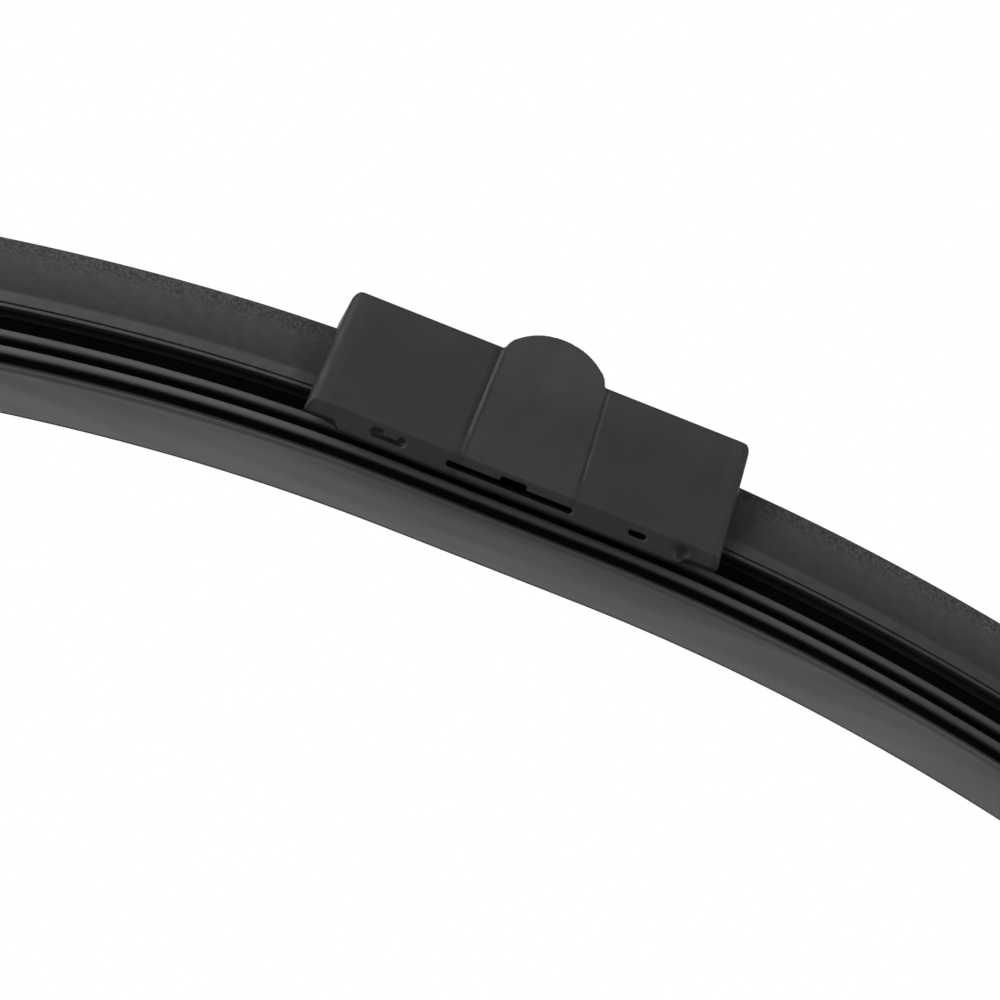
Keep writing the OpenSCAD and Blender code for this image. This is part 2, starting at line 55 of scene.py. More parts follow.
# Rubber section from the wiping edge up, in mm: lip, dip, bead, neck, ridges, flange and head
EDGE_T, LIP_T, LIP_H = 0.7, 1.24, 5.0
DIP_T, DIP_Z = 1.04, 5.65
BEAD_W, BEAD_Z, BEAD_R = 1.8, 6.45, 0.33
NECK_T = 0.84
LOW_W, LOW_Z, LOW_T = 4.4, 8.3, 1.15
WEB_T = 1.6
UP_W, UP_Z, UP_T = 6.2, 10.3, 1.05
BODY_W = 3.4
FLANGE_W, FLANGE_T = 5.8, 1.0
RAIL_WEB_T = 1.9
HEAD_W, HEAD_H = 4.4, 1.55
# Radii of its corners, in mm
EDGE_R, LIP_R, DIP_R = 0.03, 0.4, 0.25
NECK_LOW_R, NECK_R, WEB_R, BODY_R = 0.1, 0.12, 0.15, 0.2
FLANGE_LOW_R, FLANGE_R = 0.15, 0.1
HEAD_LOW_R, HEAD_R = 0.12, 0.3
# Radius of the bead's corners and start of the neck as shares of the bead's radius
BEAD_ROUND, NECK_START = 0.95, 1.3
# Radius of a ridge's nose as a share of its thickness, and height of the head's side as one of the head
NOSE_ROUND, HEAD_SIDE = 0.49, 0.6

# Rails, in mm, how much shorter than the blade they are at each end, and the play round them
RAIL_Z, RAIL_W, RAIL_T, RAIL_R = 13.6, 3.9, 0.85, 0.15
RAIL_SHORT = 1.0
FIT = 0.1

# Spoiler section, in mm: rounded top, hollow side, knee, band, rim, shadow line and gap between claws
TOP_Z, TIP_R = 24.6, 0.9
HOLLOW_R = 23.4
KNEE_W, KNEE_Z = 10.4, 15.8
BAND_W = 11.5
RIM_W, RIM_Z, RIM_T = 12.0, 12.95, 0.55
LINE_T, LINE_D = 0.26, 0.35
CLAW_GAP_W = 9.0
SPOILER_START = 28.15
# Radii of its corners, in mm
KNEE_R, BAND_R, LINE_R, RIM_R = 0.5, 0.15, 0.05, 0.2
CLAW_R, CLAW_TOP_R, ROOM_R = 0.12, 0.05, 0.1
# Angles where the round top ends and where the hollow starts, in degrees, and the steps of both arcs
TIP_END, HOLLOW_FROM = 20, 12
TIP_STEPS, HOLLOW_STEPS = 7, 14
# Share of the band over which its painted light comes in
BAND_SOFT = 0.3

# Boss on the connector, in mm, and the steps of its shoulders and crown
BOSS_TOP_W, BOSS_Z = 15.0, 32.7
BOSS_R, BOSS_TOP_R, BOSS_OUT = 3.6, 9.5, 0.15
SHOULDER_STEPS, CROWN_STEPS = 16, 40
# Side walls of the connector, in mm: width and height at their foot, and width of the channel
WALL_W, FOOT_Z, CHANNEL_W = 16.8, 11.05, 11.0
# How far the walls lean inward per height
WALL_LEAN = 1.6 / 17.5

# Levels shared by the sections, in mm
RAIL_TOP = RAIL_Z + RAIL_T
RAIL_IN = RAIL_WEB_T / 2 + FIT
RAIL_OUT = RAIL_IN + RAIL_W
FLANGE_TOP = RAIL_Z - FIT / 2
HEAD_LOW = RAIL_TOP + FIT / 2
HEAD_TOP = HEAD_LOW + HEAD_H
LINE_LOW = RIM_Z + RIM_T
LINE_TOP = LINE_LOW + LINE_T

# Largest share of an edge that the round of a corner takes
CORNER_REACH = 0.49
# Vertices closer than this are welded, in metres
WELD = 1e-6
# Faces are merged below the first angle, and edges rounded above the second, in degrees
FLAT_ANGLE, EDGE_ANGLE = 1, 25
BEVEL_SEGMENTS = 3
# Moulded radii of end caps, adapter and pin, in mm
CAP_MOULD_R, ADAPTER_MOULD_R, PIN_MOULD_R = 0.12, 0.2, 0.25
# Skin of the connector: voxel in mm, relaxing passes and their strength, and the share of faces kept
SKIN_VOXEL = 0.2
RELAX_PASSES, RELAX_FACTOR = 2, 0.5
SKIN_SHARE = 0.45

# The grey coat of the rubber, and the painted light and shade of rubber and spoiler, are a factor on their
# colour. Bare rubber in grooves, under the rails and inside the spoiler, made nearly black with painted
# shade:
RECESS_SHADE = 0.005
# How far the coat reaches from the nose of a ridge before the painted shade of the groove, and how softly
# it ends, in mm
UNSHADED_REACH, RIDGE_SHADE_FADE = 0.75, 0.35
# On the lip, painted shade darkens it from this height up to the shoulder, down to this share
LIP_SHADE_Z, SHOULDER_SHADE = 2.0, 0.76
# Painted light on the cut face along the wiping edge, and painted shade on the lower and upper half of the
# bead and on the flange between the claws
CUT_FACE_LIGHT = 2.2
BEAD_SHADE, BEAD_TOP_SHADE = 0.7, 0.2
FLANGE_SHADE = 0.12
# On the spoiler: painted shade under the rim and at the hollow's lower end, painted light on the band and
# on the rim, and painted shade in the shadow line
UNDER_RIM_SHADE, KNEE_SHADE, BAND_LIGHT, RIM_LIGHT, LINE_SHADE = 0.3, 0.66, 1.2, 1.25, 0.6
# Painted shade along the blade: share of the colour left at the right end on ridges and rim, and on the
# band, and half the length over which it comes in, in mm
RIDGE_RIGHT_SHADE, BAND_RIGHT_SHADE, SHADE_ALONG_HALF = 0.6, 0.7, 70.0
# Height from which painted shade darkens the hollow down to the knee, in mm
HOLLOW_Z = 21.5
# Ends of the zones of the rubber's coat, in mm: cut face, lip, half of the bead, bead, ridges, flange
CUT_TOP, LIP_TOP = 0.002, DIP_Z + 0.2
BEAD_HALF, BEAD_TOP = BEAD_Z - 0.1, BEAD_Z + BEAD_R + 0.02
RIDGES_TOP, FLANGE_NOSE = UP_Z + UP_T, FLANGE_W / 2 - 0.2
# Those of the spoiler: lower ends of hollow, band and rim, the rim's face, and the room for the head
HOLLOW_LOW, BAND_LOW, RIM_LOW = KNEE_Z - 0.3, LINE_TOP + 0.05, RIM_Z + 0.1
RIM_FACE = RIM_W / 2 - 0.15
ROOM_TOP, ROOM_SIDE = HEAD_TOP + 1, KNEE_W / 4

# Range of a noise pattern that the finishes use
PATTERN = (0.3, 0.7)

# Tones of the connector against its wall: painted light on the upper part and on the boss, and the disc
# over the pin's end
TOP_LIGHT, BOSS_LIGHT, DISC_TONE = 1.32, 1.25, 1.08
# Painted shade in the grooves beside the boss: their bottom, their sides, and the left one's lit flank,
# dimmed
BOSS_GROOVE_SHADE, GROOVE_SIDE_SHADE, FLANK_SHADE = 0.8, 0.8, 0.66
# Painted shade on the rounded ends, and the painted highlight of the paler band that leads up to them
END_SHADE, END_BAND_LIGHT = 0.42, 1.12
# Painted highlight on the edge of the strip, painted shade on the strip and in its hollows, and painted
# shade of the dimple at its right end
EDGE_HIGHLIGHT, STRIP_SHADE, HOLLOW_SHADE, DIMPLE_SHADE = 1.12, 0.82, 0.1, 0.6
# Heights between which the upper part's painted light comes in, and those between which the groove's
# painted shade does, in mm
TOP_LIGHT_FADE, GROOVE_FADE = (22, 31), (13.2, 14.4)
# Distance from the blade's middle plane over which the outside of the walls comes in, in mm
OUTSIDE_FADE = (6.0, 6.4)
# Where the marks of the front side end across the blade, and those of the left half along it, in mm
FRONT_FADE, LEFT_FADE = (-1.0, 0.0), (-1.0, 1.0)
# Disc over the covered end of the pin, and painted shade of the dimple, in mm: place (x, height), radius
# and softness
DISC_AT, DISC_R, DISC_SOFT = (-0.5, 26.4), 3.4, 1.4
DIMPLE_AT, DIMPLE_R, DIMPLE_SOFT = (25.2, 10.3), 1.9, 0.9
# How many times longer than high the dimple's painted shade is
DIMPLE_FLAT = 2.0
# The boss's edge and the middle of its groove, measured level with the pin, in mm, and how they lean
BOSS_EDGE, GROOVE_AT, BOSS_LEAN = 7.775, 8.225, 0.0333
# How much nearer to the middle the right groove is, and further out the left one, as a share
GROOVE_SKEW = 0.0213
# Where the boss's painted light ends, from its edge, and the painted shade of a groove's bottom, sides and
# flank, in mm
BOSS_FADE = (-0.1, 0.2)
BOTTOM_FADE, SIDES_FADE, FLANK_FADE = (0.1, 0.35), (0.3, 0.5), (0.4, 0.65)
# Distance of the light flank from the middle of the groove, in mm
FLANK_OFF = 0.7
# The connector's ends measured in the same way, and where their painted shade and the band's painted
# highlight come in, in mm
END_AT, END_LEAN = 29.0, 0.0547
END_FADE, END_BAND_FADE = (-0.6, 0.2), (-2.4, -1.6)
# Where the painted light on the wall comes in and where the strip's painted shade ends, from the wall's
# foot up, in mm
WALL_FADE, STRIP_FADE = (-0.1, 0.2), (-0.1, 0.1)
# The strip's painted highlight along its upper edge: height over the foot, and where it fades
EDGE_OFF, EDGE_FADE = 0.25, (0.1, 0.4)
# Face of the strip: its normal, its distance from the pin, and the depth where painted shade darkens the
# hollows, in mm
STRIP_NORMAL, STRIP_OFF = (0, -0.832, -0.5547), 14.394
HOLLOW_FADE = (0.12, 0.37)
# Mottling of the boss's painted light, the disc and the dimple's painted shade
MOTTLE = (0.75, 1.25)
# Painted shadow of the connector on the spoiler beside it: tone, and from where to where along the blade,
# in mm
SHADOW_BESIDE_TONE, SHADOW_BESIDE_SPAN = 0.72, (28.5, 33.5)
# Mottling of the spoiler: strength, range of the pattern, and heights where it comes in, in mm
SPECKLE, SPECKLE_PATTERN, SPECKLE_FADE = 0.4, (0.35, 0.65), (20.5, 23.5)

# Camera, fitted to the photograph: where it stands round the reference point, and its framing
REFERENCE = Vector((0, 0, -9.4)) * MM
CAMERA_AZIMUTH, CAMERA_ELEVATION, CAMERA_ROLL = -5.03, -18.0, 19.953
CAMERA_DISTANCE = 0.719
PIXELS_PER_MM = 7.2137
REFERENCE_PIXEL = (514.66, 466.7)
IMAGE_SIDE = 1000
SENSOR = 36.0
CLIP = (0.05, 50)

# Lamps that face the connector: azimuth, elevation, distance, size, power (degrees, metres, watts)
LAMPS = {
    "key": (-62, 8, 1.0, (1.0, 0.8), 15.8),
    "fill": (62, 8, 1.0, (1.0, 0.8), 6.7),
    "top": (-8, 50, 1.2, (0.7, 0.3), 0.9),
    "back": (155, 12, 1.6, (1.2, 0.8), 10),
}
# Floor, in metres: height, half its side, its colour, and the colour that the light on the object meets
FLOOR_Z, FLOOR_HALF = -0.3, 6.0
FLOOR_COLOUR = (0.7, 0.7, 0.7)
FLOOR_BOUNCE = (0.05, 0.05, 0.05, 1)
# Where it turns white, in metres from its middle, and the share of floor and white that a reflection sees
FLOOR_FADE = (0.5, 1.3)
FLOOR_GLOSSY, BACKDROP_GLOSSY = 1.0, 0.1
# Even light from all round, and the directions between which the backdrop behind the blade comes in
WORLD_FILL = 0.12
BACKDROP = (0.5, 0.9)
WHITE = (1, 1, 1, 1)


def bend_table():
    """Each stretch of the curve as start length, radius, turn at the start and centre."""
    start = STRAIGHT / 2
    turn = 0.0
    x, z = start, 0.0
    rows = []
    for radius, length in BENDS:
        centre = (x - radius * math.sin(turn), z - radius * math.cos(turn))
        rows.append((start, radius, turn, centre))
        start += length
        turn += length / radius
        x = centre[0] + radius * math.sin(turn)
        z = centre[1] + radius * math.cos(turn)
    return rows


BEND_ROWS = bend_table()


def on_blade(s, y, z):
    """Point at length s along the blade, y across it and z over the wiping edge, in metres."""
    side = 1 if s >= 0 else -1
    length = abs(s)
    if length <= STRAIGHT / 2:
        return Vector((s, y, z - PIN_Z)) * MM
    start, radius, turn, centre = [row for row in BEND_ROWS if row[0] <= length][-1]
    angle = turn + (length - start) / radius
    x = centre[0] + (radius + z) * math.sin(angle)
    up = centre[1] + (radius + z) * math.cos(angle)
    return Vector((side * x, y, up - PIN_Z)) * MM


def arc(centre, radius, first, last, steps):
    """Points on an arc in the section, angles in degrees."""
    points = []
    for i in range(steps + 1):
        angle = math.radians(first + (last - first) * i / steps)
        points.append((centre[0] + radius * math.cos(angle), centre[1] + radius * math.sin(angle)))
    return points


def rounded(corners, steps):
    """Outline from corners (y, z, radius), each turned into an arc of that radius."""
    outline = []
    for i, (y, z, radius) in enumerate(corners):
        if radius <= 0:
            outline.append((y, z))
            continue
        here = Vector((y, z))
        before = Vector(corners[i - 1][:2]) - here
        after = Vector(corners[(i + 1) % len(corners)][:2]) - here
        half = before.angle(after) / 2
        reach = min(radius / math.tan(half), before.length * CORNER_REACH, after.length * CORNER_REACH)
        true_r = reach * math.tan(half)
        middle = here + (before.normalized() + after.normalized()).normalized() * true_r / math.sin(half)
        a = here + before.normalized() * reach - middle
        b = here + after.normalized() * reach - middle
        turn = a.angle_signed(b)
        for k in range(steps + 1):
            spoke = a.copy()
            spoke.rotate(Matrix.Rotation(-turn * k / steps, 2))
            outline.append(tuple(middle + spoke))
    return outline


def mirrored(corners):
    """The left half of an outline from its right half, in the order that goes on round it."""
    return [(-y, z, radius) for y, z, radius in reversed(corners)]


def nose(width, z, half, radius):
    """Lower and upper corner of a part of the rubber that stands out."""
    return [(width / 2, z - half, radius), (width / 2, z + half, radius)]


def rubber_outline():
    right = [
        (EDGE_T / 2, 0, EDGE_R),
        (LIP_T / 2, LIP_H, LIP_R),
        (DIP_T / 2, DIP_Z, DIP_R),
        *nose(BEAD_W, BEAD_Z, BEAD_R, BEAD_R * BEAD_ROUND),
        (NECK_T / 2, BEAD_Z + BEAD_R * NECK_START, NECK_LOW_R),
        (NECK_T / 2, LOW_Z - LOW_T / 2, NECK_R),
        *nose(LOW_W, LOW_Z, LOW_T / 2, LOW_T * NOSE_ROUND),
        (WEB_T / 2, LOW_Z + LOW_T / 2, WEB_R),
        (WEB_T / 2, UP_Z - UP_T / 2, WEB_R),
        *nose(UP_W, UP_Z, UP_T / 2, UP_T * NOSE_ROUND),
        (BODY_W / 2, UP_Z + UP_T / 2, BODY_R),
        (BODY_W / 2, FLANGE_TOP - FLANGE_T, BODY_R),
        (FLANGE_W / 2, FLANGE_TOP - FLANGE_T, FLANGE_LOW_R),
        (FLANGE_W / 2, FLANGE_TOP, FLANGE_R),
        (RAIL_WEB_T / 2, FLANGE_TOP, 0),
        (RAIL_WEB_T / 2, HEAD_LOW, 0),
        (HEAD_W / 2, HEAD_LOW, HEAD_LOW_R),
        (HEAD_W / 2, HEAD_LOW + HEAD_H * HEAD_SIDE, HEAD_R),
        (HEAD_W / 2 - HEAD_H * (1 - HEAD_SIDE), HEAD_TOP, HEAD_R),
    ]
    return rounded(right + mirrored(right), steps=5)


def rail_outline(side):
    inner, outer = side * RAIL_IN, side * RAIL_OUT
    corners = [(inner, RAIL_Z), (outer, RAIL_Z), (outer, RAIL_TOP), (inner, RAIL_TOP)]
    soft = [(y, z, RAIL_R) for y, z in corners]
    return rounded(soft if side > 0 else soft[::-1], steps=4)


def hollow_arc():
    """The hollow side face, from the rounded top down to the knee."""
    angle = math.radians(HOLLOW_FROM)
    a = Vector((TIP_R * math.cos(angle), TOP_Z - TIP_R + TIP_R * math.sin(angle)))
    b = Vector((KNEE_W / 2, KNEE_Z))
    chord = (a - b).length
    sag = math.sqrt(HOLLOW_R ** 2 - chord ** 2 / 4)
    centre = (a + b) / 2 + Vector((a.y - b.y, b.x - a.x)) * sag / chord
    first = math.degrees(math.atan2(a.y - centre.y, a.x - centre.x)) % 360
    last = math.degrees(math.atan2(b.y - centre.y, b.x - centre.x)) % 360
    return arc(centre, HOLLOW_R, first, last, HOLLOW_STEPS)


def spoiler_outline():
    top = [(y, z, 0) for y, z in arc((0, TOP_Z - TIP_R), TIP_R, 90, TIP_END, TIP_STEPS)]
    side = [(y, z, 0) for y, z in hollow_arc()]
    side[-1] = (*side[-1][:2], KNEE_R)
    foot = [
        (KNEE_W / 2 + (BAND_W - KNEE_W) / 2 * BAND_SOFT, KNEE_Z + (LINE_TOP - KNEE_Z) * BAND_SOFT, 0),
        (BAND_W / 2, LINE_TOP, BAND_R),
        (BAND_W / 2 - LINE_D, LINE_TOP, LINE_R),
        (BAND_W / 2 - LINE_D, LINE_LOW, LINE_R),
        (RIM_W / 2, LINE_LOW, RIM_R),
        (RIM_W / 2, RIM_Z, RIM_R),
        (CLAW_GAP_W / 2, RIM_Z, CLAW_R),
        (CLAW_GAP_W / 2, FLANGE_TOP, CLAW_TOP_R),
        (RAIL_OUT + FIT, FLANGE_TOP, 0),
        (RAIL_OUT + FIT, HEAD_LOW, 0),
        (HEAD_W / 2 + FIT, HEAD_LOW, 0),
        (HEAD_W / 2 + FIT, HEAD_TOP + FIT, ROOM_R),
    ]
    right = (top + side + foot)[::-1]
    return rounded(right + mirrored(right[:-1]), steps=4)


def clamped(value):
    return min(max(value, 0.0), 1.0)


def shaded_along(s, least):
    """Painted shade along the part in the photograph, from 1 on the left to a share on the right."""
    return 1.0 - (1.0 - least) * clamped((s + SHADE_ALONG_HALF) / (2 * SHADE_ALONG_HALF))


def rubber_coat_and_painted_light(s, y, z):
    """Coat full on the wiping edge and the noses of the ridges; painted light on the cut face, painted
    shade up the lip, on the bead, in the grooves, under the rails and along the blade.
    """
    if z < CUT_TOP:
        return CUT_FACE_LIGHT
    if z < LIP_TOP:
        return 1.0 - (1.0 - SHOULDER_SHADE) * clamped((z - LIP_SHADE_Z) / (LIP_H - LIP_SHADE_Z))
    if z < BEAD_TOP:
        return BEAD_SHADE if z < BEAD_HALF else BEAD_TOP_SHADE
    if z > RIDGES_TOP:
        return FLANGE_SHADE if abs(y) > FLANGE_NOSE else RECESS_SHADE
    out = UP_W / 2 if z > (LOW_Z + UP_Z) / 2 else LOW_W / 2
    return max(RECESS_SHADE, shaded_along(s, RIDGE_RIGHT_SHADE) * clamped((abs(y) - out + UNSHADED_REACH) / RIDGE_SHADE_FADE))


def spoiler_painted_light(s, y, z):
    """Painted light and shade: full on the hollow but darker to the knee, paler on band and rim, darker in
    the shadow line, under the rim and inside.
    """
    if z > HOLLOW_LOW:
        inside = z < ROOM_TOP and abs(y) < ROOM_SIDE
        return RECESS_SHADE if inside else 1.0 - (1.0 - KNEE_SHADE) * clamped((HOLLOW_Z - z) / (HOLLOW_Z - KNEE_Z))
    if z > BAND_LOW:
        return BAND_LIGHT * shaded_along(s, BAND_RIGHT_SHADE) if abs(y) > ROOM_SIDE else RECESS_SHADE
    if z > RIM_LOW:
        return RIM_LIGHT * shaded_along(s, RIDGE_RIGHT_SHADE) if abs(y) > RIM_FACE else LINE_SHADE
    return UNDER_RIM_SHADE


def plain(s, y, z):
    """Leaves the colour as it is, on pieces without a coat or painted light and shade."""
    return 1.0


def placed(name, mesh):
    """Object made of an editable mesh, in the scene."""
    data = bpy.data.meshes.new(name)
    mesh.to_mesh(data)
    mesh.free()
    piece = bpy.data.objects.new(name, data)
    bpy.context.scene.collection.objects.link(piece)
    return piece


def cad_copy(node):
    """Editable, welded copy of a CAD node's mesh."""
    mesh = bmesh.new()
    mesh.from_mesh(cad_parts[node].data)
    bmesh.ops.remove_doubles(mesh, verts=mesh.verts, dist=WELD)
    return mesh


def steady_normals(piece):
    """Keeps flat faces flat where they meet small rounded edges."""
    weighted = piece.modifiers.new("steady_normals", "WEIGHTED_NORMAL")
    weighted.keep_sharp = True


def add_marks(data, outline, lengths, coat_and_painted_light):
    """Stores for the finishes each point's place along the blade and height, in mm, and its coat and
    painted light and shade.
    """
    marks = {
        "run": lambda s, y, z: s,
        "rise": lambda s, y, z: z,
        "coat_and_painted_light": coat_and_painted_light,
    }
    for name, value in marks.items():
        layer = data.attributes.new(name, "FLOAT", "POINT")
        layer.data.foreach_set("value", [value(s, y, z) for s in lengths for y, z in outline])


def swept(name, outline, first, last, coat_and_painted_light=plain):
    """Closed mesh of an outline swept along the blade from one length to another."""
    rings = round((last - first) / RING_STEP) + 1
    lengths = [first + (last - first) * i / (rings - 1) for i in range(rings)]
    mesh = bmesh.new()
    rows = [[mesh.verts.new(on_blade(s, y, z)) for y, z in outline] for s in lengths]
    count = len(outline)
    for a, b in zip(rows, rows[1:]):
        for k in range(count):
            n = (k + 1) % count
            mesh.faces.new((a[k], a[n], b[n], b[k]))
    mesh.faces.new(rows[0][::-1])
    mesh.faces.new(rows[-1])
    bmesh.ops.recalc_face_normals(mesh, faces=mesh.faces)
    for face in mesh.faces:
        face.smooth = len(face.verts) == 4
    piece = placed(name, mesh)
    add_marks(piece.data, outline, lengths, coat_and_painted_light)
    steady_normals(piece)
    return piece


def softened(name, node, radius):
    """Copy of a CAD node with its edges rounded to a moulded radius, in mm."""
    mesh = cad_copy(node)
    flat = math.radians(FLAT_ANGLE)
    bmesh.ops.dissolve_limit(mesh, angle_limit=flat, verts=mesh.verts, edges=mesh.edges)
    for face in mesh.faces:
        face.smooth = True
    piece = placed(name, mesh)
    bevel = piece.modifiers.new("moulded_edges", "BEVEL")
    bevel.width = radius * MM
    bevel.segments = BEVEL_SEGMENTS
    bevel.limit_method = "ANGLE"
    bevel.angle_limit = math.radians(EDGE_ANGLE)
    bevel.use_clamp_overlap = False
    steady_normals(piece)
    return piece


def boss_face(z):
    """How far the boss's face stands from the middle at a height."""
    return WALL_W / 2 + BOSS_OUT - (z - FOOT_Z) * WALL_LEAN


def add_boss_crowns(mesh):
    """Adds the round top of the boss on both walls as fine solids, to be joined by the remesh."""
    middle = BOSS_Z - BOSS_TOP_R
    across = BOSS_TOP_W / 2 - BOSS_R
    reach = BOSS_TOP_R - BOSS_R
    shoulder = middle + math.sqrt(reach ** 2 - across ** 2)
    turn = math.degrees(math.acos(across / reach))
    outline = arc((across, shoulder), BOSS_R, 0, turn, SHOULDER_STEPS)
    outline += arc((0, middle), BOSS_TOP_R, turn, 180 - turn, CROWN_STEPS)[1:]
    outline += arc((-across, shoulder), BOSS_R, 180 - turn, 180, SHOULDER_STEPS)[1:]
    for side in (-1, 1):
        outer = [mesh.verts.new(Vector((x, side * boss_face(z), z - PIN_Z)) * MM) for x, z in outline]
        inner = [mesh.verts.new(Vector((x, side * CHANNEL_W / 2, z - PIN_Z)) * MM) for x, z in outline]
        faces = [mesh.faces.new(outer), mesh.faces.new(inner[::-1])]
        for k in range(len(outline)):
            faces.append(mesh.faces.new((outer[k - 1], inner[k - 1], inner[k], outer[k])))
        bmesh.ops.recalc_face_normals(mesh, faces=faces)


def moulded_housing():
    """Copy of the connector remeshed and relaxed, so that every edge has a small moulded radius."""
    mesh = cad_copy("connector_housing")
    add_boss_crowns(mesh)
    piece = placed("housing", mesh)
    remesh = piece.modifiers.new("skin", "REMESH")
    remesh.mode = "VOXEL"
    remesh.voxel_size = SKIN_VOXEL * MM
    remesh.use_smooth_shade = True
    relax = piece.modifiers.new("relax", "SMOOTH")
    relax.factor = RELAX_FACTOR
    relax.iterations = RELAX_PASSES
    thin = piece.modifiers.new("thin_out", "DECIMATE")
    thin.ratio = SKIN_SHARE
    steady_normals(piece)
    return piece


class Nodes:
    """A node tree with short calls for what the finishes, the floor and the backdrop share."""

    def __init__(self, tree):
        self.tree = tree

    def node(self, kind, **values):
        made = self.tree.nodes.new(kind)
        for key, value in values.items():
            setattr(made, key, value)
        return made

    def link(self, out, into):
        self.tree.links.new(out, into)

    def place(self, stretch=(1, 1, 1)):
        """Object coordinates, stretched so that a pattern runs along the blade."""
        coords = self.node("ShaderNodeTexCoord")
        mapping = self.node("ShaderNodeMapping")
        mapping.inputs["Scale"].default_value = stretch
        self.link(coords.outputs["Object"], mapping.inputs["Vector"])
        return mapping.outputs["Vector"]

    def noise(self, scale, detail, stretch=(1, 1, 1)):
        made = self.node("ShaderNodeTexNoise")
        made.inputs["Scale"].default_value = scale
        made.inputs["Detail"].default_value = detail
        self.link(self.place(stretch), made.inputs["Vector"])
        return made.outputs["Fac"]

    def spread(self, value, low, high, from_low=PATTERN[0], from_high=PATTERN[1]):
        """Maps a pattern to a range of values."""
        made = self.node("ShaderNodeMapRange")
        made.inputs["From Min"].default_value = from_low
        made.inputs["From Max"].default_value = from_high
        made.inputs["To Min"].default_value = low
        made.inputs["To Max"].default_value = high
        self.link(value, made.inputs["Value"])
        return made.outputs["Result"]

    def maths(self, operation, *values):
        """One step of arithmetic on outputs and plain numbers."""
        made = self.node("ShaderNodeMath", operation=operation)
        for value, into in zip(values, made.inputs):
            if isinstance(value, (int, float)):
                into.default_value = value
            else:
                self.link(value, into)
        return made.outputs["Value"]

    def times(self, a, b):
        return self.maths("MULTIPLY", a, b)

    def absolute(self, value):
        return self.maths("ABSOLUTE", value)

    def mixed(self, first, second, share):
        """A share of the second shader over the first."""
        mix = self.node("ShaderNodeMixShader")
        self.link(share, mix.inputs["Fac"])
        self.link(first, mix.inputs[1])
        self.link(second, mix.inputs[2])
        return mix.outputs[0]


class Finish(Nodes):
    """A material whose patterns and masks change the colour, roughness and relief it starts with."""

    def __init__(self, name, colour, roughness, specular):
        self.material = bpy.data.materials.new(name)
        self.material.use_nodes = True
        super().__init__(self.material.node_tree)
        self.shader = self.tree.nodes["Principled BSDF"]
        self.colour = colour
        self.shader.inputs["Roughness"].default_value = roughness
        self.shader.inputs["Specular IOR Level"].default_value = specular

    def mark(self, name):
        """One of the values stored on the points of a swept piece."""
        return self.node("ShaderNodeAttribute", attribute_name=name).outputs["Fac"]

    def comes_in(self, value, places, base=0.0):
        """0 up to the first of two places, in mm from a base, and 1 from the second on."""
        return self.spread(value, 0.0, 1.0, (base + places[0]) * MM, (base + places[1]) * MM)

    def goes_out(self, value, places, base=0.0):
        """1 up to the first of two places, in mm from a base, and 0 from the second on."""
        return self.spread(value, 1.0, 0.0, (base + places[0]) * MM, (base + places[1]) * MM)

    def near(self, value, place, reach):
        """1 within the first distance from a place, and 0 beyond the second, in mm."""
        return self.goes_out(self.absolute(self.maths("SUBTRACT", value, place * MM)), reach)

    def blob(self, at, radius, soft, flat=1.0):
        """1 round a place (x, height) of the side face, in mm, and 0 beyond; flat > 1 makes it an oval."""
        made = self.node("ShaderNodeVectorMath", operation="DISTANCE")
        self.link(self.place((1, 0, flat)), made.inputs[0])
        made.inputs[1].default_value = (at[0] * MM, 0, (at[1] - PIN_Z) * flat * MM)
        return self.goes_out(made.outputs["Value"], (radius - soft, radius + soft))

    def shade(self, value):
        """Multiplies the base colour by a value."""
        made = self.node("ShaderNodeVectorMath", operation="SCALE")
        self.link(self.shader.inputs["Base Color"].links[0].from_socket, made.inputs[0])
        self.link(value, made.inputs["Scale"])
        self.link(made.outputs["Vector"], self.shader.inputs["Base Color"])

    def tone(self, mask, share):
        """Multiplies the base colour by a share where the mask is 1."""
        self.shade(self.spread(mask, 1.0, share, 0.0, 1.0))

    def tint(self, value, darkest, lightest):
        """Base colour between two shares of the finish's colour, by a pattern."""
        ramp = self.node("ShaderNodeValToRGB")
        for stop, place, share in zip(ramp.color_ramp.elements, PATTERN, (darkest, lightest)):
            stop.position = place
            stop.color = (*[c * share for c in self.colour], 1)
        self.link(value, ramp.inputs["Fac"])
        self.link(ramp.outputs["Color"], self.shader.inputs["Base Color"])

    def rough(self, value, low, high):
        self.link(self.spread(value, low, high), self.shader.inputs["Roughness"])

    def bump(self, value, depth_mm):
        made = self.node("ShaderNodeBump")
        made.inputs["Distance"].default_value = depth_mm * MM
        self.link(value, made.inputs["Height"])
        self.link(made.outputs["Normal"], self.shader.inputs["Normal"])


def plastic_finish(name="moulded_plastic"):
    """Dark moulded plastic with a fine spark-eroded grain."""
    f = Finish(name, colour=(0.0256, 0.0256, 0.0257), roughness=0.6, specular=0.27)
    f.tint(f.noise(scale=120, detail=4), darkest=0.9, lightest=1.1)
    f.rough(f.noise(scale=420, detail=2), low=0.5, high=0.62)
    f.bump(f.noise(scale=9000, detail=2), depth_mm=0.004)
    return f


